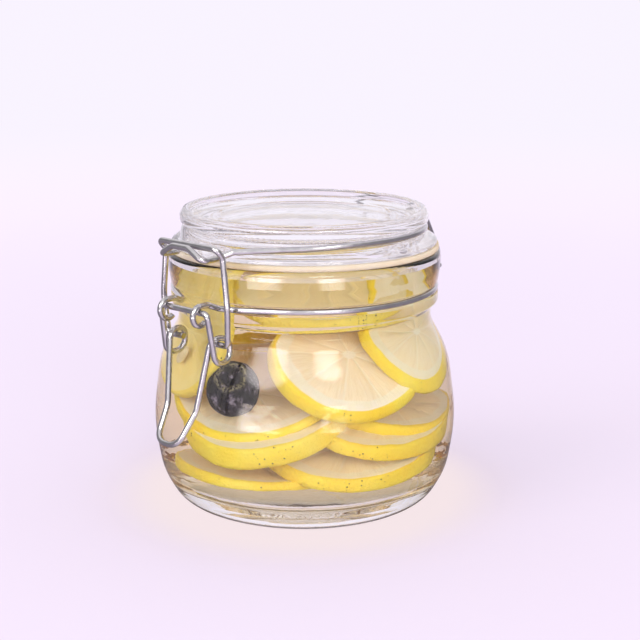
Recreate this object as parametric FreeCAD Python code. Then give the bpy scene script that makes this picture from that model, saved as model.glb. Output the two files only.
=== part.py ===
"""Round clip-top preserving jar, half a litre, shut and filled almost to the brim.

The axis of the jar is Z and its base stands on Z = 0. The wire clasp is on the -Y side, the
hinge on the +Y side. Sizes are in millimetres.

A thick glass jar carries a wire ring in a groove of its collar. At the front that ring ends in two
eyes, which hold the cross-bar of the lever. The lever's two coils hold the inturned ends of the
clip, and the bar of the clip lies in the crook of the tongue bent out of the lid's wire. At the
back the lid's wire ends in two eyes round the hinge bar, a crank in the neck wire.
"""
import FreeCAD
import Part
import math
import os

V = FreeCAD.Vector
AXIS = V(0, 0, 1)

# ---- glass jar ---------------------------------------------------------------------------
FOOT_R = 44.6            # where base and side would meet without the rounded heel
BELLY_R = 52.5           # widest part of the body
BELLY_Z = 27.0
NECK_R = 43.9            # waist under the collar
NECK_Z = 66.5
BEAD_R = 46.3            # bead below the wire groove
BEAD_LOW = 70.2
BEAD_HIGH = 73.3
COLLAR_R = 46.9          # collar above the wire groove
COLLAR_LOW = 76.4
LIP_Z = 87.6             # top of the jar
MOUTH_R = 39.0           # inside of neck and mouth
FLOOR_Z = 8.0            # inside of the thick base
WALL = 3.4               # glass at the belly
GROOVE_R = 44.3          # bottom of the groove for the neck wire

# ---- seal and lid ------------------------------------------------------------------------
SEAL_IN = 38.2
SEAL_OUT = 46.3
SEAL_T = 2.0
GAP = 0.05               # play between pieces that only touch
FLANGE_R = 45.6
FLANGE_EDGE = 1.2        # height of the flange at its edge
FLANGE_MID = (44.0, 92.0)  # points of the slope from that edge up to the groove
FLANGE_TOP = (41.6, 93.0)
SHOULDER_R = 40.3        # wall of the lid's groove, where its wire lies
SHOULDER_LOW = 93.2
RIM_LOW = 96.3           # underside of the lid's rim
RIM_R = 42.8
CREST_R = 41.1
CREST_Z = 101.8          # top of the jar as a whole
DISH_R = 38.9            # foot of the rim's inner slope
DISH_Z = 99.9
DISC_R = 29.0            # inner disc of the top face, one step lower
DISC_Z = 98.9
DISC_UNDER = 94.4
PLUG_OUT = 37.3          # ring of the lid that stands in the mouth
PLUG_IN = 33.6
PLUG_LOW = 85.4

# ---- contents ----------------------------------------------------------------------------
LEVEL_Z = 83.3           # surface of the liquid

# ---- wires -------------------------------------------------------------------------------
WIRE_R = 1.0             # radius of every wire
NECK_RING_R = 45.4
NECK_RING_Z = 74.8
LID_RING_R = 41.4
LID_RING_Z = 95.1
LID_BEND_Y = -18.0       # in front of this line the lid wire is pulled down to the clasp
LID_FRONT_DROP = 1.7
NECK_KNEE = (12.0, 45.9)  # where each wire turns out towards the clasp: across, out
LID_KNEE = (11.8, 45.6)

# ---- clasp, measured out from the axis and up ----------------------------------------------
PIVOT_OUT = 56.4         # cross-bar of the lever, in the eyes of the neck wire
PIVOT_Z = 75.0
PIN_OUT = 50.7           # ends of the clip, in the coils of the lever
PIN_Z = 64.0
BAR_OUT = 54.2           # bar of the clip, in the crook of the tongue
BAR_Z = 95.6
EYE_X = 7.7              # eyes of the neck wire, either side of the middle
EYE_R = 3.1
SEAT_PLAY = 0.08         # between an eye or coil and the wire that bears on it
CROSSBAR_HALF = 10.8
COIL_OUT = 50.2          # middle of the lever's coils; the clip's ends bear on their tops
COIL_Z = 62.1
COIL_HALF_W = 3.6
COIL_HALF_H = 4.0
COIL_X_OUTER = 11.6      # a coil's first turn, where the arm runs in
COIL_X_INNER = 8.9       # its last, where the handle runs out
KNEE = (6.8, 58.2, 42.7)
FOOT = (4.9, 65.0, 32.2)
PIN_INNER_X = 6.6
CLIP_FOOT_X = 14.0
CLIP_WAIST = (15.0, 51.5, 77.0)
CLIP_NECK = (13.2, 51.5, 92.4)
CLIP_BAR_X = 13.6
TONGUE_X = 9.8
TONGUE_OUT = 57.1
TONGUE_LOW = 91.7
TONGUE_TOP = (3.6, 95.2)

# ---- hinge, measured back from the axis ----------------------------------------------------
HINGE_OUT = 57.2         # hinge bar, the crank in the neck wire
HINGE_X = 16.5
HINGE_EYE_X = 12.6
HINGE_EYE_R = 2.3


def tangent_path(corners, closed=False):
    """Edges through the corners (point, radius), with each corner turned by a tangent arc."""
    count = len(corners)
    cuts = []
    for i, (point, radius) in enumerate(corners):
        ends = not closed and i in (0, count - 1)
        if ends or radius <= 0:
            cuts.append((point, None, point))
            continue
        back = (corners[i - 1][0] - point).normalize()
        ahead = (corners[(i + 1) % count][0] - point).normalize()
        half = back.getAngle(ahead) / 2
        reach = radius / math.tan(half)
        inward = (back + ahead).normalize()
        middle = point + inward * (radius / math.sin(half) - radius)
        cuts.append((point + back * reach, middle, point + ahead * reach))
    edges = []
    last = count if closed else count - 1
    for i in range(count):
        start, middle, end = cuts[i]
        if middle is not None:
            edges.append(Part.Arc(start, middle, end).toShape())
        if i < last:
            following = cuts[(i + 1) % count][0]
            if end.distanceToPoint(following) > 1e-6:
                edges.append(Part.LineSegment(end, following).toShape())
    return edges


def turned(corners):
    """Solid of revolution about Z from corners (radius from the axis, height, rounding)."""
    flat = [(V(r, 0, z), rounding) for r, z, rounding in corners]
    outline = Part.Wire(Part.__sortEdges__(tangent_path(flat, closed=True)))
    return Part.Face(outline).revolve(V(0, 0, 0), AXIS, 360)


def drawn_wire(edges, radius=WIRE_R):
    """Round wire that follows a chain of edges."""
    path = Part.Wire(edges)
    first = edges[0]
    start = first.valueAt(first.FirstParameter)
    heading = first.tangentAt(first.FirstParameter)
    section = Part.Wire(Part.makeCircle(radius, start, heading))
    return path.makePipeShell([section], True, False)


def front(x, out, z):
    """Point on the clasp side: across, out from the axis, up."""
    return V(x, -out, z)


def mirrored(corners):
    """The same corners on the -X side, in reverse order."""
    return [(V(-p.x, p.y, p.z), radius) for p, radius in reversed(corners)]


def ring_arc(radius, z, from_deg, to_deg):
    """Arc about Z, with angles counted from -Y towards +X."""
    def at(deg):
        a = math.radians(deg)
        return V(radius * math.sin(a), -radius * math.cos(a), z)
    return Part.Arc(at(from_deg), at((from_deg + to_deg) / 2), at(to_deg)).toShape()


def leave_angle(ring_r, x, out):
    """Angle from the clasp side at which a wire leaves its ring straight for a knee."""
    return math.atan2(x, out) + math.acos(ring_r / math.hypot(x, out))


def jar_glass():
    """Thick jar: flat base, round belly, waist, bead, wire groove, collar and plain lip."""
    outside = [
        (0, 0, 0),
        (FOOT_R, 0, 9),
        (FOOT_R + 6.0, 10.5, 24),
        (BELLY_R + 0.9, BELLY_Z + 1, 60),
        (BELLY_R - 2.0, BELLY_Z + 24, 36),
        (NECK_R, NECK_Z - 3.5, 9),
        (NECK_R, NECK_Z + 1.2, 1.2),
        (BEAD_R, BEAD_LOW, 1.2),
        (BEAD_R, BEAD_HIGH, 0.4),
        (GROOVE_R, NECK_RING_Z - WIRE_R, 0.8),
        (GROOVE_R, NECK_RING_Z + WIRE_R, 0.8),
        (COLLAR_R - 0.8, COLLAR_LOW, 0.5),
        (COLLAR_R, COLLAR_LOW + 5, 8),
        (COLLAR_R, LIP_Z, 1.8),
    ]
    inside = [
        (MOUTH_R, LIP_Z, 1.4),
        (MOUTH_R, NECK_Z + 0.5, 12),
        (BELLY_R - WALL - 2.0, BELLY_Z + 23, 34),
        (BELLY_R - WALL + 0.7, BELLY_Z + 1, 50),
        (BELLY_R - WALL - 3.4, FLOOR_Z, 11),
        (0, FLOOR_Z, 0),
    ]
    return turned(outside + inside)


def liquid():
    """Drink up to its level, with the shape of the inside of the jar."""
    play = GAP
    return turned([
        (0, FLOOR_Z + play, 0),
        (BELLY_R - WALL - 3.4 - play, FLOOR_Z + play, 11),
        (BELLY_R - WALL + 0.7 - play, BELLY_Z + 1, 50),
        (BELLY_R - WALL - 2.0 - play, BELLY_Z + 23, 34),
        (MOUTH_R - play, NECK_Z + 0.5, 12),
        (MOUTH_R - play, LEVEL_Z, 0),
        (0, LEVEL_Z, 0),
    ])


def seal():
    """Flat silicone ring between lip and lid, with rounded edges."""
    low = LIP_Z + GAP
    high = low + SEAL_T
    round_edge = 0.7
    return turned([
        (SEAL_IN, low, round_edge),
        (SEAL_OUT, low, round_edge),
        (SEAL_OUT, high, round_edge),
        (SEAL_IN, high, round_edge),
    ])


def lid_glass():
    """Pressed lid: plug ring, flange on the seal, wire groove, and a thick raised rim."""
    flange_low = LIP_Z + SEAL_T + 2 * GAP
    flange_high = flange_low + FLANGE_EDGE
    return turned([
        (0, DISC_UNDER, 0),
        (PLUG_IN - 1.2, DISC_UNDER, 2.5),
        (PLUG_IN, PLUG_LOW, 0.8),
        (PLUG_OUT - 0.4, PLUG_LOW, 0.8),
        (PLUG_OUT, flange_low, 0.5),
        (FLANGE_R, flange_low, 0.4),
        (FLANGE_R, flange_high, 0.6),
        (*FLANGE_MID, 3.0),
        (*FLANGE_TOP, 0.8),
        (SHOULDER_R, SHOULDER_LOW, 0.6),
        (SHOULDER_R, RIM_LOW, 0.5),
        (RIM_R - 0.3, RIM_LOW + 0.7, 1.0),
        (RIM_R, RIM_LOW + 3.4, 1.8),
        (CREST_R + 0.4, CREST_Z, 1.3),
        (CREST_R - 1.2, CREST_Z - 0.2, 0.9),
        (DISH_R, DISH_Z, 1.6),
        (DISC_R + 0.9, DISC_Z + 0.45, 1.2),
        (DISC_R, DISC_Z, 1.2),
        (0, DISC_Z, 0),
    ])


def neck_wire():
    """Ring in the collar's groove: two eyes at the front, the hinge crank at the back."""
    eye_out = PIVOT_OUT
    eye_z = PIVOT_Z - (EYE_R - 2 * WIRE_R - SEAT_PLAY)
    leave = leave_angle(NECK_RING_R, *NECK_KNEE)
    leave_deg = math.degrees(leave)
    ring_end = front(NECK_RING_R * math.sin(leave), NECK_RING_R * math.cos(leave), NECK_RING_Z)

    def eye_point(deg):
        b = math.radians(deg)
        return front(EYE_X, eye_out + EYE_R * math.cos(b), eye_z + EYE_R * math.sin(b))

    arm = [
        (ring_end, 0),
        (front(*NECK_KNEE, NECK_RING_Z), 1.9),
        (front(EYE_X + 1.2, 49.4, NECK_RING_Z + 0.6), 3.0),
        (front(EYE_X, 53.2, eye_z + EYE_R), 3.0),
        (eye_point(90), 0),
    ]
    right = tangent_path(arm) + [Part.Arc(eye_point(90), eye_point(-20), eye_point(-130)).toShape()]
    left = [edge.mirror(V(0, 0, 0), V(1, 0, 0)) for edge in right]

    crank_deg = math.degrees(math.asin(HINGE_X / NECK_RING_R)) + 4.0
    c = math.radians(crank_deg)
    turn_in = V(-NECK_RING_R * math.sin(c), NECK_RING_R * math.cos(c), NECK_RING_Z)
    heading = V(math.cos(c), math.sin(c), 0)
    corner = turn_in + heading * 3.4
    crank = [
        (turn_in, 0),
        (corner, 2.4),
        (V(-HINGE_X, HINGE_OUT, NECK_RING_Z), 3.0),
    ]
    hinge = tangent_path(crank + mirrored(crank))
    sides = [ring_arc(NECK_RING_R, NECK_RING_Z, leave_deg, 180 - crank_deg),
             ring_arc(NECK_RING_R, NECK_RING_Z, 180 + crank_deg, 360 - leave_deg)]
    return drawn_wire(Part.__sortEdges__(right + left + sides + hinge))


def lid_wire():
    """Ring round the lid: its tongue at the front holds the clip, its eyes at the back hinge."""
    front_r = LID_RING_R
    slope = LID_FRONT_DROP / (front_r + LID_BEND_Y)

    def lowered(x, out):
        drop = max(0.0, out + LID_BEND_Y) * slope
        return front(x, out, LID_RING_Z - drop)

    def on_ring(deg):
        a = math.radians(deg)
        return lowered(front_r * math.sin(a), front_r * math.cos(a))

    leave_deg = math.degrees(leave_angle(front_r, *LID_KNEE))
    bend_deg = math.degrees(math.acos(-LID_BEND_Y / front_r))
    ring_end = on_ring(leave_deg)
    top_x, top_z = TONGUE_TOP
    tongue = [
        (ring_end, 0),
        (front(*LID_KNEE, LID_RING_Z - LID_FRONT_DROP), 1.6),
        (front(TONGUE_X - 0.6, 50.0, TONGUE_LOW), 4.0),
        (front(TONGUE_X, TONGUE_OUT, TONGUE_LOW), 2.3),
        (front(top_x, TONGUE_OUT, top_z), 3.0),
    ]
    middle = tangent_path(tongue + mirrored(tongue))
    bow = Part.Arc(on_ring(bend_deg), on_ring((bend_deg + leave_deg) / 2), ring_end).toShape()

    end_deg = math.degrees(math.asin(HINGE_EYE_X / front_r)) + 5.0
    e = math.radians(end_deg)
    ring_back = V(front_r * math.sin(e), front_r * math.cos(e), LID_RING_Z)
    corner = ring_back + V(-math.cos(e), math.sin(e), 0) * 3.0
    eye_z = NECK_RING_Z

    def eye_point(deg):
        b = math.radians(deg)
        return V(HINGE_EYE_X, HINGE_OUT + HINGE_EYE_R * math.cos(b), eye_z + HINGE_EYE_R * math.sin(b))

    arm = [
        (ring_back, 0),
        (corner, 2.0),
        (V(HINGE_EYE_X, 51.0, LID_RING_Z - 1.6), 3.5),
        (V(HINGE_EYE_X, HINGE_OUT + HINGE_EYE_R, 79.0), 6.0),
        (eye_point(0), 0),
    ]
    back = tangent_path(arm) + [Part.Arc(eye_point(0), eye_point(-120), eye_point(-240)).toShape()]
    side = ring_arc(front_r, LID_RING_Z, bend_deg, 180 - end_deg)
    half = [bow, side] + back
    other = [edge.mirror(V(0, 0, 0), V(1, 0, 0)) for edge in half]
    return drawn_wire(Part.__sortEdges__(middle + half + other))


def lever():
    """One wire: cross-bar in the eyes, arms down to the coils, one turn each, then the handle."""
    step = (COIL_X_OUTER - COIL_X_INNER) / 4
    coil_round = 3.5

    def coil(turns, out_sign, up_sign):
        return front(COIL_X_OUTER - step * turns,
                     COIL_OUT + out_sign * COIL_HALF_W,
                     COIL_Z + up_sign * COIL_HALF_H)

    half = [
        (front(0, PIVOT_OUT, PIVOT_Z), 0),
        (front(CROSSBAR_HALF, PIVOT_OUT, PIVOT_Z), 1.7),
        (coil(0, 1, -1), coil_round),
        (coil(1, -1, -1), coil_round),
        (coil(2, -1, 1), coil_round),
        (coil(3, 1, 1), coil_round),
        (front(*KNEE), 7.0),
        (front(*FOOT), 4.7),
    ]
    return drawn_wire(tangent_path(half + mirrored(half)[:-1] + [half[0]]))


def clip():
    """Bail from coil to coil: inturned ends, bowed legs, and a bar kicked out at the top."""
    half = [
        (front(PIN_INNER_X, PIN_OUT, PIN_Z), 0),
        (front(CLIP_FOOT_X, PIN_OUT, PIN_Z), 1.8),
        (front(*CLIP_WAIST), 30.0),
        (front(*CLIP_NECK), 2.4),
        (front(CLIP_BAR_X, BAR_OUT, BAR_Z), 2.0),
    ]
    return drawn_wire(tangent_path(half + mirrored(half)))


PARTS = {
    "jar_glass": jar_glass,
    "liquid": liquid,
    "seal": seal,
    "lid_glass": lid_glass,
    "neck_wire": neck_wire,
    "lid_wire": lid_wire,
    "lever": lever,
    "clip": clip,
}


def main():
    os.makedirs("parts", exist_ok=True)
    for name, make in PARTS.items():
        shape = make()
        box = shape.BoundBox
        print(f"{name}: valid {shape.isValid()}, {shape.ShapeType}, {len(shape.Faces)} faces,"
              f" {shape.Volume / 1000:.2f} cm3,"
              f" X {box.XMin:.1f} to {box.XMax:.1f},"
              f" Y {box.YMin:.1f} to {box.YMax:.1f}, Z {box.ZMin:.1f} to {box.ZMax:.1f}")
        shape.exportStep(f"parts/{name}.step")


main()
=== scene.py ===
"""Looks of a small clip-top jar of pale lemon drink, shut, with lemon slices and one dark berry.

Lengths are in metres. Inside the jar, places are given in millimetres as (across, near, up): across to
the right and near towards the viewer, both from the jar's axis, and up from its base.
"""
import bpy
import bmesh
import math
from mathutils import Matrix, Vector, noise


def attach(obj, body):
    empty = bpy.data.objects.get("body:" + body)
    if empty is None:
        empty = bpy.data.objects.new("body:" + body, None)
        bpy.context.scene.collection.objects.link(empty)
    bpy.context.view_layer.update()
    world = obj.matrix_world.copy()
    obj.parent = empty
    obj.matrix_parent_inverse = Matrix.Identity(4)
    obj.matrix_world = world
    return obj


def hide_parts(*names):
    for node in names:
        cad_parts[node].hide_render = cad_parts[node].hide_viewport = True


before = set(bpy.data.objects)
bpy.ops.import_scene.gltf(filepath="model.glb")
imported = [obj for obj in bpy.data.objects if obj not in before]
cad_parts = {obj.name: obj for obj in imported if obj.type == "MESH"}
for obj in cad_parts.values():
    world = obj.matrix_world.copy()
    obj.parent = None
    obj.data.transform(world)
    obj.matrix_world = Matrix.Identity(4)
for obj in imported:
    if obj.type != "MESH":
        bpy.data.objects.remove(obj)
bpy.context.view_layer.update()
bpy.context.scene.view_settings.view_transform = "Standard"

# Light crosses lid, jar, drink and jar again, and is mirrored inside the thick glass on the way
GLASS_BOUNCES = 32
DIFFUSE_BOUNCES = 6
bpy.context.scene.cycles.max_bounces = GLASS_BOUNCES
bpy.context.scene.cycles.transmission_bounces = GLASS_BOUNCES
bpy.context.scene.cycles.transparent_max_bounces = GLASS_BOUNCES
bpy.context.scene.cycles.glossy_bounces = GLASS_BOUNCES
bpy.context.scene.cycles.diffuse_bounces = DIFFUSE_BOUNCES

MM = 0.001
VIEW_AZIMUTH = 43.0          # degrees from the clasp side towards +X
VIEW_DISTANCE = 0.460        # metres from the jar's axis
VIEW_HEIGHT = 0.174
VIEW_PITCH = 13.77           # degrees down
VIEW_YAW = 0.67              # degrees to the right of the jar's axis
VIEW_ANGLE = 26.63           # degrees across the picture

azimuth = math.radians(VIEW_AZIMUTH)
ACROSS = Vector((math.cos(azimuth), math.sin(azimuth), 0))
NEAR = Vector((math.sin(azimuth), -math.cos(azimuth), 0))
UP = Vector((0, 0, 1))


def place(across, near, up):
    """Point in the jar from millimetres across, near and up."""
    return (ACROSS * across + NEAR * near + UP * up) * MM


def level_way(turn):
    """Level direction, in degrees from the viewer's side round to the right."""
    way = azimuth + math.radians(turn)
    return Vector((math.sin(way), -math.cos(way), 0))


def raised_way(turn, height):
    """The same direction, raised by height in degrees."""
    rise = math.radians(height)
    return level_way(turn) * math.cos(rise) + UP * math.sin(rise)


def cad_piece(node):
    """The object that stands for a CAD node."""
    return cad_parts[node]


# ---- shader helpers ------------------------------------------------------------------------
class Shader:
    """A node tree with short calls for adding and joining nodes."""

    def __init__(self, owner):
        owner.use_nodes = True
        self.tree = owner.node_tree
        self.tree.nodes.clear()

    def add(self, kind, **values):
        node = self.tree.nodes.new(kind)
        for name, value in values.items():
            setattr(node, name, value)
        return node

    def put(self, node, **sockets):
        """Set or link the inputs of a node, by name with _ for a space."""
        for name, value in sockets.items():
            socket = node.inputs[name.replace("_", " ")]
            if isinstance(value, bpy.types.NodeSocket):
                self.tree.links.new(value, socket)
            else:
                socket.default_value = value
        return node

    def math(self, operation, a, b=None):
        node = self.add("ShaderNodeMath", operation=operation)
        for i, value in enumerate((a, b)):
            if isinstance(value, bpy.types.NodeSocket):
                self.tree.links.new(value, node.inputs[i])
            elif value is not None:
                node.inputs[i].default_value = value
        return node.outputs[0]

    def noise(self, vector, scale, detail=3.0, rough=0.5):
        node = self.add("ShaderNodeTexNoise")
        self.put(node, Vector=vector, Scale=scale, Detail=detail, Roughness=rough)
        return node.outputs["Fac"]

    def ramp(self, value, stops):
        """Colours by value: stops are (place, colour)."""
        node = self.add("ShaderNodeValToRGB")
        self.tree.links.new(value, node.inputs[0])
        elements = node.color_ramp.elements
        while len(elements) < len(stops):
            elements.new(1.0)
        for element, (position, colour) in zip(elements, stops):
            element.position = position
            element.color = (*colour, 1.0)
        return node.outputs["Color"]

    def step(self, value, low, high):
        """Smooth step: 0 at low and 1 at high, which may be the smaller of the two."""
        node = self.add("ShaderNodeMapRange", interpolation_type="SMOOTHSTEP")
        self.put(node, Value=value)
        node.inputs["From Min"].default_value = low
        node.inputs["From Max"].default_value = high
        return node.outputs["Result"]

    def blend(self, factor, a, b):
        """Colour a where factor is 0 and colour b where it is 1."""
        node = self.add("ShaderNodeMix", data_type="RGBA")
        self.tree.links.new(factor, node.inputs[0])
        for socket, value in ((node.inputs[6], a), (node.inputs[7], b)):
            if isinstance(value, bpy.types.NodeSocket):
                self.tree.links.new(value, socket)
            else:
                socket.default_value = (*value, 1.0)
        return node.outputs[2]

    def along(self, vector, way):
        """How far a vector reaches along a fixed way."""
        node = self.add("ShaderNodeVectorMath", operation="DOT_PRODUCT")
        self.tree.links.new(vector, node.inputs[0])
        node.inputs[1].default_value = way
        return node.outputs["Value"]

    def bump(self, height, strength, distance):
        node = self.add("ShaderNodeBump")
        self.put(node, Height=height, Strength=strength, Distance=distance)
        return node.outputs["Normal"]

    def mix(self, factor, first, second):
        """Shader first where factor is 0 and shader second where it is 1."""
        node = self.add("ShaderNodeMixShader")
        self.tree.links.new(factor, node.inputs[0])
        self.tree.links.new(first, node.inputs[1])
        self.tree.links.new(second, node.inputs[2])
        return node.outputs[0]

    def both(self, first, second):
        """Two shaders added up."""
        node = self.add("ShaderNodeAddShader")
        self.tree.links.new(first, node.inputs[0])
        self.tree.links.new(second, node.inputs[1])
        return node.outputs[0]

    def principled(self, **sockets):
        return self.put(self.add("ShaderNodeBsdfPrincipled"), **sockets).outputs[0]

    def lamps_pass(self, body, tint):
        """The shader body, but only a tint to the light of lamps."""
        clear = self.put(self.add("ShaderNodeBsdfTransparent"), Color=(*tint, 1.0))
        path = self.add("ShaderNodeLightPath")
        return self.mix(path.outputs["Is Shadow Ray"], body, clear.outputs[0])

    def finish(self, surface, volume=None, kind="ShaderNodeOutputMaterial"):
        out = self.add(kind)
        self.tree.links.new(surface, out.inputs["Surface"])
        if volume:
            self.tree.links.new(volume, out.inputs["Volume"])


def object_coords(shader):
    return shader.add("ShaderNodeTexCoord").outputs["Object"]


# ---- materials -----------------------------------------------------------------------------
def glass_material(name, tint, waviness):
    """Clear pressed glass with a faint ripple. Lamps shine through it."""
    material = bpy.data.materials.new(name)
    s = Shader(material)
    ripple = s.noise(object_coords(s), 70.0, detail=2.5)
    body = s.principled(
        Base_Color=(*tint, 1.0),
        Roughness=0.012,
        IOR=1.45,
        Transmission_Weight=1.0,
        Normal=s.bump(ripple, waviness, 0.002),
    )
    s.finish(s.lamps_pass(body, tint))
    return material


def drink_material():
    """Pale lemon drink: clear, and deeper in colour the more of it is looked through."""
    material = bpy.data.materials.new("lemon_drink")
    s = Shader(material)
    body = s.principled(
        Base_Color=(0.995, 0.96, 0.80, 1.0),
        Roughness=0.0,
        IOR=1.335,
        Transmission_Weight=1.0,
    )
    depth = s.put(s.add("ShaderNodeVolumeAbsorption"), Color=(0.945, 0.79, 0.57, 1.0), Density=14.0)
    s.finish(s.lamps_pass(body, (1.0, 0.98, 0.92)), volume=depth.outputs[0])
    return material


def wire_material():
    """Bright drawn steel wire with fine drawing lines and slightly uneven shine."""
    material = bpy.data.materials.new("steel_wire")
    s = Shader(material)
    coords = object_coords(s)
    cloud = s.noise(coords, 260.0, detail=4.0, rough=0.6)
    fine = s.noise(coords, 2600.0, detail=2.0)
    surface = s.principled(
        Base_Color=s.ramp(cloud, [(0.25, (0.46, 0.45, 0.46)), (0.75, (0.64, 0.63, 0.64))]),
        Metallic=1.0,
        Roughness=s.ramp(cloud, [(0.3, (0.11,) * 3), (0.8, (0.21,) * 3)]),
        Normal=s.bump(fine, 0.12, 0.0002),
    )
    s.finish(surface)
    return material


def seal_material():
    """Milky silicone, tinted unevenly by the drink."""
    material = bpy.data.materials.new("clear_silicone")
    s = Shader(material)
    cloud = s.noise(object_coords(s), 26.0, detail=3.0)
    surface = s.principled(
        Base_Color=s.ramp(cloud, [(0.35, (0.50, 0.37, 0.20)), (0.65, (0.60, 0.53, 0.43))]),
        Roughness=0.45,
        IOR=1.41,
        Subsurface_Weight=0.9,
        Subsurface_Radius=(1.0, 0.9, 0.7),
        Subsurface_Scale=0.005,
    )
    s.finish(surface)
    return material


# A slice's parts, by radius: core, flesh in segments, pith and peel. 1 is the outside.
SEGMENTS = 9
CORE_TO = 0.07
PITH_FROM = 0.775
PEEL_FROM = 0.945

FLESH_DEEP = (0.86, 0.745, 0.55)
FLESH_MIDDLE = (0.93, 0.83, 0.66)
FLESH_PALE = (0.97, 0.91, 0.80)
MEMBRANE = (0.99, 0.96, 0.86)
MEMBRANE_SHOWS = 0.55        # how much of its own colour a membrane has over the flesh
CORE = (0.98, 0.96, 0.88)
PITH_DEEP = (0.90, 0.86, 0.72)
PITH_PALE = (0.95, 0.93, 0.85)
PEEL_DEEP = (0.98, 0.70, 0.02)
PEEL_MIDDLE = (0.99, 0.80, 0.05)
PEEL_PALE = (0.99, 0.87, 0.16)
# A deeper yellow that each slice takes by its own amount: partly the slice's own tone, partly painted shade
DEEP_TONE_AND_SHADE = (0.95, 0.77, 0.18)
RAGGED_BY = 0.16             # how far the edges of pith and peel wander, of the radius
PORES_PER_METRE = 1100.0


def slice_material():
    """Lemon slice by its own map: U is the way round in segments, V the radius, 1 on the peel."""
    material = bpy.data.materials.new("lemon_slice")
    s = Shader(material)
    coords = object_coords(s)
    split = s.add("ShaderNodeSeparateXYZ")
    s.put(split, Vector=s.put(s.add("ShaderNodeUVMap", uv_map="SliceMap")).outputs[0])
    turn, radius = split.outputs[0], split.outputs[1]

    in_segment = s.math("FRACT", turn)
    from_middle = s.math("ABSOLUTE", s.math("SUBTRACT", in_segment, 0.5))
    to_wall = s.math("MULTIPLY", s.math("SUBTRACT", 0.5, from_middle), radius)
    streak_place = s.add("ShaderNodeCombineXYZ")
    s.put(streak_place, X=s.math("MULTIPLY", turn, 9.0), Y=s.math("MULTIPLY", radius, 2.2))
    streaks = s.noise(streak_place.outputs[0], 1.6, detail=4.0, rough=0.65)
    cloud = s.noise(coords, 190.0, detail=3.0)

    flesh = s.ramp(streaks, [(0.25, FLESH_DEEP), (0.5, FLESH_MIDDLE), (0.8, FLESH_PALE)])
    membrane = s.step(to_wall, 0.028, 0.012)
    inner = s.blend(s.math("MULTIPLY", membrane, MEMBRANE_SHOWS), flesh, MEMBRANE)
    core = s.step(radius, CORE_TO + 0.03, CORE_TO)
    inner = s.blend(core, inner, CORE)
    pith = s.ramp(cloud, [(0.3, PITH_DEEP), (0.7, PITH_PALE)])
    ragged = s.noise(coords, 90.0, detail=4.0, rough=0.6)
    wobble = s.math("MULTIPLY", s.math("SUBTRACT", ragged, 0.5), RAGGED_BY)
    edge = s.math("ADD", radius, wobble)
    inner = s.blend(s.step(edge, PITH_FROM - 0.015, PITH_FROM + 0.015), inner, pith)
    peel_tone = s.noise(coords, 60.0, detail=2.0)
    peel = s.ramp(peel_tone, [(0.3, PEEL_DEEP), (0.55, PEEL_MIDDLE), (0.8, PEEL_PALE)])
    skin = s.math("ADD", radius, s.math("MULTIPLY", wobble, 0.3))
    colour = s.blend(s.step(skin, PEEL_FROM - 0.02, PEEL_FROM + 0.01), inner, peel)
    # Each slice's own amount of the deeper yellow, set slice by slice: partly its own tone, partly painted
    # shade
    tone_and_shade = s.add("ShaderNodeAttribute", attribute_name="Steeped").outputs["Fac"]
    colour = s.blend(tone_and_shade, colour, DEEP_TONE_AND_SHADE)

    pores = s.add("ShaderNodeTexVoronoi")
    s.put(pores, Vector=coords, Scale=PORES_PER_METRE)
    on_peel = s.step(radius, 0.93, 0.97)
    dimples = s.math("MULTIPLY", pores.outputs["Distance"], on_peel)
    bulges = s.math("MULTIPLY", streaks, s.math("SUBTRACT", 1.0, on_peel))
    surface = s.principled(
        Base_Color=colour,
        Roughness=0.38,
        IOR=1.42,
        Subsurface_Weight=0.3,
        Subsurface_Radius=(1.0, 0.8, 0.35),
        Subsurface_Scale=0.0012,
        Normal=s.bump(s.math("ADD", dimples, bulges), 0.45, 0.0006),
    )
    s.finish(surface)
    return material


def berry_material():
    """Blue-black skin with a pale bloom rubbed off in patches, and a dry olive edge on the crown."""
    material = bpy.data.materials.new("dark_berry")
    s = Shader(material)
    coords = object_coords(s)
    patches = s.noise(coords, 330.0, detail=6.0, rough=0.72)
    fine = s.noise(coords, 1400.0, detail=3.0)
    bare = (0.002, 0.002, 0.005)
    dusted = (0.02, 0.018, 0.034)
    bloom = (0.24, 0.21, 0.30)
    skin = s.ramp(patches, [(0.44, bare), (0.54, dusted), (0.65, bloom)])
    crown = s.add("ShaderNodeAttribute", attribute_name="Crown").outputs["Fac"]
    dry = s.math("MULTIPLY", crown, s.step(fine, 0.44, 0.58))
    surface = s.principled(
        Base_Color=s.blend(dry, skin, (0.30, 0.27, 0.17)),
        Roughness=s.ramp(patches, [(0.35, (0.5,) * 3), (0.65, (0.85,) * 3)]),
        Specular_IOR_Level=0.12,
        Normal=s.bump(patches, 0.5, 0.0006),
    )
    s.finish(surface)
    return material


def speck_material():
    """Dark brown corky spots."""
    material = bpy.data.materials.new("rind_specks")
    s = Shader(material)
    tone = s.noise(object_coords(s), 900.0, detail=2.0)
    surface = s.principled(
        Base_Color=s.ramp(tone, [(0.35, (0.035, 0.018, 0.006)), (0.65, (0.13, 0.07, 0.02))]),
        Roughness=0.6,
    )
    s.finish(surface)
    return material


def pip_material():
    """Pale seed skin, browner in patches."""
    material = bpy.data.materials.new("lemon_pip")
    s = Shader(material)
    tone = s.noise(object_coords(s), 320.0, detail=3.0)
    surface = s.principled(
        Base_Color=s.ramp(tone, [(0.3, (0.78, 0.62, 0.33)), (0.7, (0.93, 0.84, 0.60))]),
        Roughness=0.35,
    )
    s.finish(surface)
    return material


# ---- meshes --------------------------------------------------------------------------------
def add_piece(name, mesh, material):
    """A finished piece that moves with the jar."""
    piece = bpy.data.objects.new(name, mesh)
    bpy.context.scene.collection.objects.link(piece)
    mesh.materials.append(material)
    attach(piece, "jar")
    return piece


def smooth(mesh):
    for polygon in mesh.polygons:
        polygon.use_smooth = True


OUTLINE_STEP = 0.35          # least rise from one point of the drink's outline to the next, mm


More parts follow.
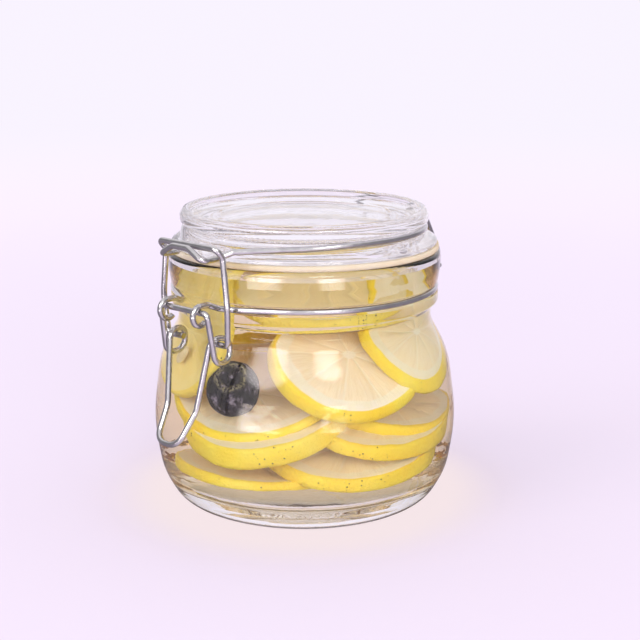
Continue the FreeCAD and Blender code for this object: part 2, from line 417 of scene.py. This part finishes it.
def liquid_profile():
    """Half outline of the drink as (radius, height) in mm, read from the CAD solid, base to level."""
    widest = {}
    for vertex in cad_piece("liquid").data.vertices:
        key = round(vertex.co.z / MM, 1)
        widest[key] = max(widest.get(key, 0), math.hypot(vertex.co.x, vertex.co.y) / MM)
    heights = sorted(widest)
    outline = [(widest[heights[0]], heights[0])]
    for height in heights[1:]:
        if height - outline[-1][1] >= OUTLINE_STEP or height == heights[-1]:
            outline.append((widest[height], height))
    return outline


INTO_WALL = 0.12             # how far the drink reaches into the glass, mm
LEVEL_RINGS = (0.35, 0.8, 1.5, 3.0)    # rings on the flat top of the drink, mm in from its edge
DRINK_AROUND = 160


def drink_mesh():
    """The drink as one turned body that reaches into the wall and the floor, flat at its level."""
    rings = [(radius + INTO_WALL, height) for radius, height in liquid_profile()]
    rings[0] = (rings[0][0], rings[0][1] - INTO_WALL)
    rim, level = rings[-1]
    rings += [(rim - inward, level) for inward in LEVEL_RINGS]
    mesh = bpy.data.meshes.new("drink")
    maker = bmesh.new()
    angles = [2 * math.pi * i / DRINK_AROUND for i in range(DRINK_AROUND)]
    loops = []
    for radius, height in rings:
        across = radius * MM
        loop = [maker.verts.new((across * math.cos(a), across * math.sin(a), height * MM)) for a in angles]
        loops.append(loop)
    for low, high in zip(loops, loops[1:]):
        for i in range(DRINK_AROUND):
            j = (i + 1) % DRINK_AROUND
            maker.faces.new((low[i], low[j], high[j], high[i]))
    for ring, up in ((loops[0], False), (loops[-1], True)):
        centre = maker.verts.new((0, 0, ring[0].co.z))
        for i in range(DRINK_AROUND):
            j = (i + 1) % DRINK_AROUND
            maker.faces.new((ring[i], ring[j], centre) if up else (ring[j], ring[i], centre))
    maker.to_mesh(mesh)
    maker.free()
    smooth(mesh)
    return mesh


# A slice's mesh and its unevenness. Heights are in mm, the rest are parts of the radius.
AROUND = SEGMENTS * 16
RADII = (0.03, 0.07, 0.12, 0.20, 0.30, 0.40, 0.50, 0.60, 0.68, 0.74, 0.775, 0.81, 0.87, 0.93, 0.965, 0.99)
SIDE_STEPS = 6
SIDE_BULGE = 0.014           # how far the peel stands out between the two cut faces
SEGMENT_BULGE = 0.45         # height of a segment's middle over its membranes
MEMBRANE_DIP = 0.15
ROUND_FROM = 0.93            # where the cut face starts to round over into the peel
ROUND_BY = 0.45
WAVES = 0.30                 # height of the slow unevenness of a cut face, and of the fine one
FINE_WAVES = 0.10
WEDGE = 0.24                 # a slice is thicker at one side by this part
OVAL = 0.022
OUTLINE_WAVES = 0.045
OUTLINE_NICKS = 0.012


def slice_surface(radius, thick, turn, side, seed):
    """Height in mm of a slice's cut face over its middle plane, with bulging segments."""
    part = (turn * SEGMENTS) % 1.0
    flesh = max(0.0, math.sin(math.pi * part)) ** 0.6
    inside = min(1.0, max(0.0, (PITH_FROM - radius) / 0.08)) * min(1.0, max(0.0, (radius - CORE_TO) / 0.1))
    angle = 2 * math.pi * turn
    place_on = Vector((math.cos(angle) * radius * 3, math.sin(angle) * radius * 3, seed + side * 5))
    rough = noise.noise(place_on) * WAVES + noise.noise(place_on * 4) * FINE_WAVES
    rounding = ROUND_BY * (max(0.0, radius - ROUND_FROM) / (1 - ROUND_FROM)) ** 2
    wedge = 1 + WEDGE * radius * math.cos(angle + seed * 2.3)
    return side * (thick / 2 * wedge + (flesh * SEGMENT_BULGE - MEMBRANE_DIP) * inside - rounding) + rough


def slice_outline(turn, seed):
    """Unevenness of a slice's radius with the way round."""
    angle = 2 * math.pi * turn
    wave = noise.noise(Vector((math.cos(angle), math.sin(angle), seed)))
    nick = noise.noise(Vector((math.cos(angle) * 3.2, math.sin(angle) * 3.2, seed + 9)))
    return 1.0 + OVAL * math.cos(2 * angle + seed) + OUTLINE_WAVES * wave + OUTLINE_NICKS * nick


def slice_mesh(name, radius, thick, seed, warp, tone_and_shade):
    """One lemon slice in its own plane, with a map of U by segments and V by radius.

    Warp is how far it bends out of its plane, in mm. The last value, 0 to 1, is how far the whole slice
    turns to a deeper yellow; set slice by slice, it is partly the slice's own tone and partly painted shade.
    """
    mesh = bpy.data.meshes.new(name)
    maker = bmesh.new()
    chart = maker.loops.layers.uv.new("SliceMap")

    def bend(across, along):
        return warp * ((across / radius) ** 2 - (along / radius) ** 2 * 0.6)

    def vertex(fraction, i, side):
        turn = i / AROUND
        angle = 2 * math.pi * turn
        reach = radius * fraction * (1 + (slice_outline(turn, seed) - 1) * fraction)
        x, y = reach * math.cos(angle), reach * math.sin(angle)
        z = slice_surface(fraction, thick, turn, side, seed) + bend(x, y)
        return maker.verts.new((x * MM, y * MM, z * MM))

    def quad(corners):
        face = maker.faces.new([vert for vert, _, _ in corners])
        for loop, (_, u, v) in zip(face.loops, corners):
            loop[chart].uv = (u, v)

    faces = {}
    for side in (1, -1):
        rings = [[vertex(f, i, side) for i in range(AROUND)] for f in RADII]
        faces[side] = rings
        middle = maker.verts.new((0, 0, slice_surface(0, thick, 0, side, seed) * MM))
        for i in range(AROUND):
            j = (i + 1) % AROUND
            u0, u1 = i / AROUND * SEGMENTS, (i + 1) / AROUND * SEGMENTS
            hub = [(middle, (u0 + u1) / 2, 0), (rings[0][i], u0, RADII[0]), (rings[0][j], u1, RADII[0])]
            quad(hub if side > 0 else hub[::-1])
            for k in range(len(RADII) - 1):
                band = [
                    (rings[k][i], u0, RADII[k]),
                    (rings[k + 1][i], u0, RADII[k + 1]),
                    (rings[k + 1][j], u1, RADII[k + 1]),
                    (rings[k][j], u1, RADII[k]),
                ]
                quad(band if side > 0 else band[::-1])

    levels = [faces[1][-1]]
    for k in range(1, SIDE_STEPS):
        part = k / SIDE_STEPS
        bulge = 1.0 + SIDE_BULGE * math.sin(math.pi * part)
        ring = []
        for i in range(AROUND):
            top = faces[1][-1][i].co
            bottom = faces[-1][-1][i].co
            point = top.lerp(bottom, part)
            ring.append(maker.verts.new((point.x * bulge, point.y * bulge, point.z)))
        levels.append(ring)
    levels.append(faces[-1][-1])
    for upper, lower in zip(levels, levels[1:]):
        for i in range(AROUND):
            j = (i + 1) % AROUND
            u0, u1 = i / AROUND * SEGMENTS, (i + 1) / AROUND * SEGMENTS
            quad([(upper[i], u0, 1.0), (lower[i], u0, 1.0), (lower[j], u1, 1.0), (upper[j], u1, 1.0)])
    maker.to_mesh(mesh)
    maker.free()
    # The slice's amount of deeper yellow, partly its own tone and partly painted shade
    tone_and_shade_layer = mesh.attributes.new("Steeped", "FLOAT", "POINT")
    tone_and_shade_layer.data.foreach_set("value", [tone_and_shade] * len(mesh.vertices))
    smooth(mesh)
    return mesh


WALL_GAP = 0.25              # mm between the fruit and the glass
GIVE = 3.0                   # mm over which a slice's edge bends away from the glass


def press_inside(mesh, outline):
    """Bend a slice where it would reach the wall, so that it lies along the glass."""
    heights = [height for _, height in outline]
    for vertex in mesh.vertices:
        point = vertex.co
        height = min(max(point.z / MM, heights[0]), heights[-1])
        k = next(i for i in range(1, len(heights)) if heights[i] >= height)
        (r0, z0), (r1, z1) = outline[k - 1], outline[k]
        limit = r0 + (r1 - r0) * (height - z0) / (z1 - z0) - WALL_GAP
        reach = math.hypot(point.x, point.y) / MM
        if reach > limit - GIVE:
            held = limit - GIVE * math.exp(-(reach - limit + GIVE) / GIVE)
            vertex.co = (point.x * held / reach, point.y * held / reach, point.z)


def lay(mesh, where, heading, lean, spin):
    """Put a flat mesh at a place, turned by spin, then leaned so that it falls towards heading."""
    axis = UP.cross(level_way(heading))
    turn = Matrix.Rotation(math.radians(lean), 4, axis) @ Matrix.Rotation(math.radians(spin), 4, "Z")
    mesh.transform(Matrix.Translation(place(*where)) @ turn)


# name: (across, near, up), radius and thickness in mm, heading, lean and spin in degrees, warp, and how far
# the slice turns a deeper yellow (partly its own tone, partly painted shade)
SLICES = {
    "low_left": ((-13, 14, 14.8), 25.0, 3.8, -30, -3, 10, 0.4, 0.2),
    "low_right": ((13, 17, 21.6), 26.0, 6.0, 24, 12, 25, 0.8, 0.12),
    "left_under": ((-11, 19, 33.0), 25.5, 6.0, -28, 17, 0, 0.9, 0.12),
    "left_over": ((-14, 17, 38.2), 24.0, 4.2, -30, 19, 15, 0.9, 0.05),
    "right_under": ((20, 14, 30.4), 23.5, 5.2, 48, 16, 5, 0.8, 0.12),
    "right_over": ((22, 8, 33.8), 21.5, 4.0, 66, 15, 20, 0.6, 0.12),
    "front": ((12.5, 24.5, 52.0), 23.9, 6.2, 24, 34, 33, 0.5, 0.0),
    "right_upper": ((33.5, 15.0, 59.0), 21.0, 5.6, 50, 48, 12, 0.4, 0.16),
    "top": ((5, 10, 71.4), 25.5, 2.8, 4, 6, 8, 0.7, 0.5),
    "left_side": ((-32, 11, 59.0), 21.5, 5.0, -70, 66, 20, 0.6, 0.75),
    "back_low": ((2, -20, 22.0), 24.5, 6.0, 170, 12, 0, 0.8, 0.2),
    "back_mid": ((-4, -22, 46.0), 24.0, 6.0, 200, 40, 30, 0.6, 0.3),
}


def close_round(maker, rings, top, bottom):
    """Join rings from top to bottom into a closed skin with a hub at each end."""
    around = len(rings[0])
    for upper, lower in zip(rings, rings[1:]):
        for i in range(around):
            j = (i + 1) % around
            maker.faces.new((upper[i], lower[i], lower[j], upper[j]))
    for ring, end, is_top in ((rings[0], top, True), (rings[-1], bottom, False)):
        hub = maker.verts.new(end)
        for i in range(around):
            j = (i + 1) % around
            maker.faces.new((hub, ring[i], ring[j]) if is_top else (hub, ring[j], ring[i]))


BERRY_RADIUS = 8.6
BERRY_PLACE = (-22.0, 31.0, 45.2)      # across, near, up, mm
CROWN_WAY = (-0.15, 0.60, 0.79)        # across, near, up
BERRY_AROUND = 90
BERRY_ROWS = 64
BERRY_SQUAT = 0.92                     # height over width
CROWN_POINTS = 5
CROWN_AT = 0.55                        # angle from the top to the crown's ridge, radians
CROWN_WIDE = 0.085
CROWN_POINT_REACH = 0.05               # how much further out the ridge is at a point
CROWN_HIGH = 0.10                      # of the radius
PIT_TO = 0.48
PIT_EDGE = 0.035
PIT_DEEP = 0.15
BERRY_UNEVEN = 0.018


def berry_bulge(polar, turn):
    """How far the berry's skin stands out for its crown and pit, of the radius, and the crown alone."""
    lobe = 0.5 + 0.5 * math.cos(CROWN_POINTS * turn)
    crown = math.exp(-(((polar - CROWN_AT - CROWN_POINT_REACH * lobe) / CROWN_WIDE) ** 2))
    pit = 1 / (1 + math.exp((polar - PIT_TO) / PIT_EDGE))
    return CROWN_HIGH * crown * (0.4 + 0.6 * lobe) - PIT_DEEP * pit, crown


def berry_mesh(radius):
    """Round berry with the five-pointed crown and its pit at the top (+Z)."""
    mesh = bpy.data.meshes.new("berry")
    maker = bmesh.new()
    crown_layer = maker.verts.layers.float.new("Crown")
    rings = []
    for k in range(1, BERRY_ROWS):
        polar = math.pi * k / BERRY_ROWS
        level = math.sin(polar)
        rise = math.cos(polar) * BERRY_SQUAT
        ring = []
        for i in range(BERRY_AROUND):
            turn = 2 * math.pi * i / BERRY_AROUND
            bulge, crown = berry_bulge(polar, turn)
            direction = Vector((level * math.cos(turn), level * math.sin(turn), rise))
            out = radius * (1 + bulge + BERRY_UNEVEN * noise.noise(direction * 2.5))
            vert = maker.verts.new(direction * out * MM)
            vert[crown_layer] = crown
            ring.append(vert)
        rings.append(ring)
    top = sum((vert.co for vert in rings[0]), Vector()) / BERRY_AROUND
    bottom = sum((vert.co for vert in rings[-1]), Vector()) / BERRY_AROUND
    close_round(maker, rings, top, bottom)
    maker.to_mesh(mesh)
    maker.free()
    smooth(mesh)
    return mesh


PIP_HALVES = (4.6, 2.5, 1.8)           # half its length, width and thickness, mm
PIP_TAPER = 0.55
PIP_AROUND = 24
PIP_ROWS = 16
PIP_PLACE = (-38.5, 18.0, 53.0)        # across, near, up, mm
PIP_TURN = 68                          # degrees from lying across to standing


def pip_mesh():
    """One lemon seed along X, pointed at one end."""
    mesh = bpy.data.meshes.new("pip")
    maker = bmesh.new()
    length, width, thick = PIP_HALVES
    rings = []
    for k in range(1, PIP_ROWS):
        polar = math.pi * k / PIP_ROWS
        along = math.cos(polar)
        reach = math.sin(polar) * (1 - PIP_TAPER * max(0.0, along) ** 2)
        ring = []
        for i in range(PIP_AROUND):
            turn = 2 * math.pi * i / PIP_AROUND
            y = math.cos(turn) * width * reach
            z = math.sin(turn) * thick * reach
            ring.append(maker.verts.new(Vector((along * length, y, z)) * MM))
        rings.append(ring)
    close_round(maker, rings, (length * MM, 0, 0), (-length * MM, 0, 0))
    maker.to_mesh(mesh)
    maker.free()
    smooth(mesh)
    return mesh


SPECK_SIZES = (0.08, 0.27)             # smallest and largest half width, mm
SPECK_SEED = 11
# Spots on the peel: middle (across, near, up) and reach in mm, spots per square metre
BLEMISHES = {
    "low_right_face": ((14, 40, 17), 15, 150000),
    "left_under_face": ((-10, 43, 27), 8, 90000),
    "left_over_side": ((-33, 30, 33), 6, 80000),
    "top_edge": ((16, 34, 69), 8, 420000),
    "front_edge": ((16, 45, 38), 9, 60000),
    "all_over": ((0, 0, 40), 90, 7000),
}


def speck_tree(material):
    """Geometry Nodes: flat round spots of uneven size, scattered on the peel near a centre."""
    tree = bpy.data.node_groups.new("peel_specks", "GeometryNodeTree")

    def way_in(name, kind):
        socket = tree.interface.new_socket(name, in_out="INPUT", socket_type="NodeSocket" + kind)
        return socket.identifier

    sockets = {"Carrier": way_in("Carrier", "Geometry"), "Centre": way_in("Centre", "Vector")}
    for name in ("Reach", "Density", "Smallest", "Largest"):
        sockets[name] = way_in(name, "Float")
    sockets["Seed"] = way_in("Seed", "Int")
    tree.interface.new_socket("Specks", in_out="OUTPUT", socket_type="NodeSocketGeometry")

    def node(kind, links=(), **values):
        made = tree.nodes.new(kind)
        for name, value in values.items():
            setattr(made, name, value)
        for source, socket in links:
            tree.links.new(source, made.inputs[socket])
        return made

    given = node("NodeGroupInput").outputs
    chart = node("GeometryNodeInputNamedAttribute", data_type="FLOAT_VECTOR")
    chart.inputs["Name"].default_value = "SliceMap"
    radius = node("ShaderNodeSeparateXYZ", [(chart.outputs["Attribute"], 0)]).outputs["Y"]
    on_peel = node("FunctionNodeCompare", [(radius, 0)], operation="GREATER_THAN")
    on_peel.inputs[1].default_value = PEEL_FROM + 0.03
    away = node(
        "ShaderNodeVectorMath",
        [(node("GeometryNodeInputPosition").outputs[0], 0), (given["Centre"], 1)],
        operation="DISTANCE",
    )
    near_by = node(
        "FunctionNodeCompare", [(away.outputs["Value"], 0), (given["Reach"], 1)], operation="LESS_THAN"
    )
    both = node(
        "FunctionNodeBooleanMath", [(on_peel.outputs[0], 0), (near_by.outputs[0], 1)], operation="AND"
    )
    points = node(
        "GeometryNodeDistributePointsOnFaces",
        [
            (given["Carrier"], "Mesh"),
            (both.outputs[0], "Selection"),
            (given["Density"], "Density"),
            (given["Seed"], "Seed"),
        ],
    )
    span = node(
        "FunctionNodeRandomValue",
        [(given["Smallest"], 2), (given["Largest"], 3), (given["Seed"], "Seed")],
        data_type="FLOAT",
    )
    size = node("ShaderNodeCombineXYZ", [(span.outputs[1], 0), (span.outputs[1], 1), (given["Smallest"], 2)])
    spot = node("GeometryNodeMeshIcoSphere")
    spot.inputs["Radius"].default_value = 1.0
    spot.inputs["Subdivisions"].default_value = 2
    copies = node(
        "GeometryNodeInstanceOnPoints",
        [
            (points.outputs["Points"], "Points"),
            (spot.outputs["Mesh"], "Instance"),
            (points.outputs["Rotation"], "Rotation"),
            (size.outputs[0], "Scale"),
        ],
    )
    solid = node("GeometryNodeRealizeInstances", [(copies.outputs[0], 0)])
    even = node("GeometryNodeSetShadeSmooth", [(solid.outputs[0], "Geometry")])
    dressed = node("GeometryNodeSetMaterial", [(even.outputs[0], "Geometry")])
    dressed.inputs["Material"].default_value = material
    node("NodeGroupOutput", [(dressed.outputs[0], 0)])
    return tree, sockets


def scattered(carrier, tree, sockets, values):
    """Plain mesh that the tree makes on the carrier with these values."""
    modifier = carrier.modifiers.new("scatter", "NODES")
    modifier.node_group = tree
    for name, value in values.items():
        modifier[sockets[name]] = value
    graph = bpy.context.evaluated_depsgraph_get()
    mesh = bpy.data.meshes.new_from_object(carrier.evaluated_get(graph), depsgraph=graph)
    carrier.modifiers.remove(modifier)
    return mesh


def specks(slices):
    """All the spots on the slices' peel as one piece."""
    joined = bmesh.new()
    for piece in slices:
        joined.from_mesh(piece.data)
    base = bpy.data.meshes.new("carrier")
    joined.to_mesh(base)
    joined.free()
    carrier = bpy.data.objects.new("carrier", base)
    bpy.context.scene.collection.objects.link(carrier)
    material = speck_material()
    tree, sockets = speck_tree(material)
    gathered = bmesh.new()
    for index, (where, reach, density) in enumerate(BLEMISHES.values()):
        values = {
            "Centre": place(*where),
            "Reach": reach * MM,
            "Density": float(density),
            "Smallest": SPECK_SIZES[0] * MM,
            "Largest": SPECK_SIZES[1] * MM,
            "Seed": SPECK_SEED + index,
        }
        part = scattered(carrier, tree, sockets, values)
        gathered.from_mesh(part)
        bpy.data.meshes.remove(part)
    bpy.data.objects.remove(carrier)
    mesh = bpy.data.meshes.new("rind_specks")
    gathered.to_mesh(mesh)
    gathered.free()
    smooth(mesh)
    add_piece("rind_specks", mesh, material)


def contents():
    """Drink, slices with their specks, seed and berry."""
    drink = add_piece("drink", drink_mesh(), drink_material())
    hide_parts("liquid")
    flesh = slice_material()
    slices = []
    outline = liquid_profile()
    for index, (name, row) in enumerate(SLICES.items()):
        where, radius, thick, heading, lean, spin, warp, tone_and_shade = row
        seed = 3.7 * index + 1.3
        mesh = slice_mesh("slice_" + name, radius, thick, seed, warp, tone_and_shade)
        lay(mesh, where, heading, lean, spin)
        press_inside(mesh, outline)
        slices.append(add_piece("slice_" + name, mesh, flesh))
    specks(slices)
    pip = pip_mesh()
    turn = Matrix.Rotation(math.radians(PIP_TURN), 4, NEAR)
    pip.transform(Matrix.Translation(place(*PIP_PLACE)) @ turn)
    add_piece("pip", pip, pip_material())
    berry = berry_mesh(BERRY_RADIUS)
    crown_way = place(*CROWN_WAY).normalized()
    turn = UP.rotation_difference(crown_way).to_matrix().to_4x4()
    berry.transform(Matrix.Translation(place(*BERRY_PLACE)) @ turn)
    add_piece("berry", berry, berry_material())


def dress_frame():
    """Materials of the CAD pieces that show."""
    wire = wire_material()
    looks = {
        "jar_glass": glass_material("jar_glass", tint=(0.99, 0.99, 0.99), waviness=0.08),
        "lid_glass": glass_material("lid_glass", tint=(0.985, 0.99, 0.995), waviness=0.012),
        "seal": seal_material(),
        "neck_wire": wire,
        "lid_wire": wire,
        "lever": wire,
        "clip": wire,
    }
    for node, material in looks.items():
        for slot in cad_piece(node).material_slots:
            slot.material = material


# ---- surroundings --------------------------------------------------------------------------
BLACK = (0.0, 0.0, 0.0)
FLOOR_NEAR = (0.75, 0.672, 0.80)
FLOOR_FAR = (0.95, 0.90, 1.0)
FLOOR_GLOW = (0.885, 0.795, 0.93)      # the floor's even tone near the jar
FOOT_LIGHT_POOL = (0.93, 0.80, 0.82)         # and right at its base a painted pool of light, tinted as the drink tints the light that falls through it
FAR_FROM_TO = (0.12, 1.4)              # metres from the jar's axis
# Where the painted pool of light at the jar's base starts and is full, metres from the jar's axis
FOOT_POOL_FROM_TO = (0.085, 0.050)
EVEN_NEAR = 0.35                       # how much of the even tone covers the shadow, seen straight on
# How much of the jar's shadow at its base the painted pool of light covers
FOOT_POOL_SHARE = 0.97
# How much painted even light covers the ground and the jar's shadow where they are seen through the glass
EVEN_THROUGH_GLASS = 0.8
FLOOR_HALF = 60.0                      # metres
FLOOR_DROP = 0.0002

# Soft lights: turn from the viewer's side, height, angle across, colour, strength
SOFTBOXES = (
    (-33, 31, 36, (1.0, 0.92, 0.93), 10.0),
    (21, 36, 24, (1.0, 0.96, 0.94), 9.0),
)
GLINT_STARTS = (0.35, 0.39)            # their images on the floor, metres from the jar's axis
GLINT_STOPS = (0.60, 0.48)
GLINT_SHARE = 0.75                     # of the soft light's own strength

FLAG_FROM_TO = (0.45, 0.80)  # dark cards at both sides, there for mirror images only
FLAG_DEPTH = 0.65

SKY = (0.93, 0.90, 1.0)
SKY_IN_FRONT = (1.25, 1.21, 1.27)
SKY_ABOVE = (1.12, 1.09, 1.12)
SKY_STRENGTH = 0.94


def soft_edges(wide):
    """Cosines of the angles at which a soft light starts and is full."""
    start = math.cos(math.radians(wide / 2))
    full = math.cos(math.radians(wide / 5))
    return start, full


def floor():
    """Pale ground that takes the shadow near the jar, partly covered by a painted even glow, with a painted
    pool of light at the jar's base and painted light on the ground seen through the glass, and runs out into
    an even pale distance.
    """
    mesh = bpy.data.meshes.new("floor")
    half = FLOOR_HALF
    corners = [(-half, -half, 0), (half, -half, 0), (half, half, 0), (-half, half, 0)]
    mesh.from_pydata(corners, [], [(0, 1, 2, 3)])
    ground = bpy.data.objects.new("floor", mesh)
    bpy.context.scene.collection.objects.link(ground)
    ground.location.z = -FLOOR_DROP
    material = bpy.data.materials.new("floor")
    s = Shader(material)
    coords = object_coords(s)
    distance = s.add("ShaderNodeVectorMath", operation="LENGTH")
    s.put(distance, Vector=coords)
    length = distance.outputs["Value"]
    path = s.add("ShaderNodeLightPath").outputs
    far = s.step(length, *FAR_FROM_TO)
    foot_pool = s.step(length, *FOOT_POOL_FROM_TO)

    sideways = s.math("ABSOLUTE", s.math("DIVIDE", s.along(coords, ACROSS), length))
    flag = s.math("MULTIPLY", s.step(sideways, *FLAG_FROM_TO), path["Is Glossy Ray"])
    tone = s.blend(far, FLOOR_NEAR, FLOOR_FAR)
    tone = s.blend(s.math("MULTIPLY", flag, FLAG_DEPTH), tone, BLACK)
    matt = s.put(s.add("ShaderNodeBsdfDiffuse"), Color=tone)
    # Painted light: an even glow over part of the jar's shadow, a painted pool of light at its base, and
    # painted light on the ground seen through the glass
    even_tone = s.blend(foot_pool, s.blend(far, FLOOR_GLOW, FLOOR_FAR), FOOT_LIGHT_POOL)
    glow = s.put(s.add("ShaderNodeEmission"), Color=even_tone, Strength=1.0)
    even = s.math("MAXIMUM", s.math("MAXIMUM", far, EVEN_NEAR), s.math("MULTIPLY", foot_pool, FOOT_POOL_SHARE))
    straight = s.math("MULTIPLY", path["Is Camera Ray"], even)
    through = s.math("MULTIPLY", path["Is Transmission Ray"], s.math("MAXIMUM", far, EVEN_THROUGH_GLASS))
    look = s.mix(s.math("MAXIMUM", straight, through), matt.outputs[0], glow.outputs[0])

    ring = s.math("MULTIPLY", s.step(length, *GLINT_STARTS), s.step(length, *GLINT_STOPS))
    for turn, _, wide, colour, strength in SOFTBOXES:
        ahead = s.math("DIVIDE", s.along(coords, level_way(turn)), length)
        aligned = s.step(ahead, *soft_edges(wide))
        patch = s.math("MULTIPLY", s.math("MULTIPLY", aligned, ring), path["Is Glossy Ray"])
        patch = s.math("MULTIPLY", patch, strength * GLINT_SHARE)
        shine = s.put(s.add("ShaderNodeEmission"), Color=(*colour, 1.0), Strength=patch)
        look = s.both(look, shine.outputs[0])
    s.finish(look)
    mesh.materials.append(material)


def surroundings():
    """Pale light from above and all round, and two soft lights that only mirror images show."""
    world = bpy.data.worlds.new("studio")
    bpy.context.scene.world = world
    s = Shader(world)
    direction = s.add("ShaderNodeTexCoord").outputs["Generated"]
    path = s.add("ShaderNodeLightPath").outputs
    in_front = s.step(s.along(direction, NEAR), 0.15, 0.85)
    above = s.step(s.along(direction, UP), -0.1, 0.7)
    lit = s.blend(in_front, SKY, SKY_IN_FRONT)
    lit = s.blend(above, lit, SKY_ABOVE)
    sideways = s.math("ABSOLUTE", s.along(direction, ACROSS))
    flag = s.math("MULTIPLY", s.step(sideways, *FLAG_FROM_TO), path["Is Glossy Ray"])
    lit = s.blend(s.math("MULTIPLY", flag, FLAG_DEPTH), lit, BLACK)
    light = s.put(s.add("ShaderNodeBackground"), Color=lit, Strength=SKY_STRENGTH).outputs[0]
    for turn, height, wide, colour, strength in SOFTBOXES:
        facing = s.along(direction, raised_way(turn, height))
        mirrored = s.math("MULTIPLY", path["Is Glossy Ray"], strength)
        glow = s.math("MULTIPLY", s.step(facing, *soft_edges(wide)), mirrored)
        box = s.put(s.add("ShaderNodeBackground"), Color=(*colour, 1.0), Strength=glow)
        light = s.both(light, box.outputs[0])
    seen = s.put(s.add("ShaderNodeBackground"), Color=(*FLOOR_FAR, 1.0), Strength=1.0)
    looked_at = s.math("MAXIMUM", path["Is Camera Ray"], path["Is Transmission Ray"])
    s.finish(s.mix(looked_at, light, seen.outputs[0]), kind="ShaderNodeOutputWorld")


LAMP_REACH = 3.0             # metres from the jar
LAMP_SIZE = 1.8
LAMP_AIM = 0.05              # height that the lamps are aimed at


def lamp(name, turn, height, power, colour):
    """Soft lamp aimed at the jar that gives light but no mirror image."""
    data = bpy.data.lights.new(name, "AREA")
    data.size = LAMP_SIZE
    data.energy = power
    data.color = colour
    bulb = bpy.data.objects.new(name, data)
    bpy.context.scene.collection.objects.link(bulb)
    direction = raised_way(turn, height)
    bulb.location = direction * LAMP_REACH + UP * LAMP_AIM
    bulb.rotation_euler = direction.to_track_quat("Z", "Y").to_euler()
    bulb.visible_glossy = False
    bulb.visible_transmission = False
    bulb.visible_camera = False


def camera():
    data = bpy.data.cameras.new("view")
    data.angle = math.radians(VIEW_ANGLE)
    data.clip_start = 0.01
    view = bpy.data.objects.new("view", data)
    bpy.context.scene.collection.objects.link(view)
    view.location = NEAR * VIEW_DISTANCE + UP * VIEW_HEIGHT
    view.rotation_euler = (math.radians(90 - VIEW_PITCH), 0, azimuth - math.radians(VIEW_YAW))
    bpy.context.scene.camera = view


camera()
floor()
surroundings()
lamp("front_fill", turn=16, height=15, power=59.4, colour=(1.0, 0.97, 0.95))
lamp("left_fill", turn=-62, height=20, power=36.0, colour=(1.0, 0.97, 0.97))
dress_frame()
contents()
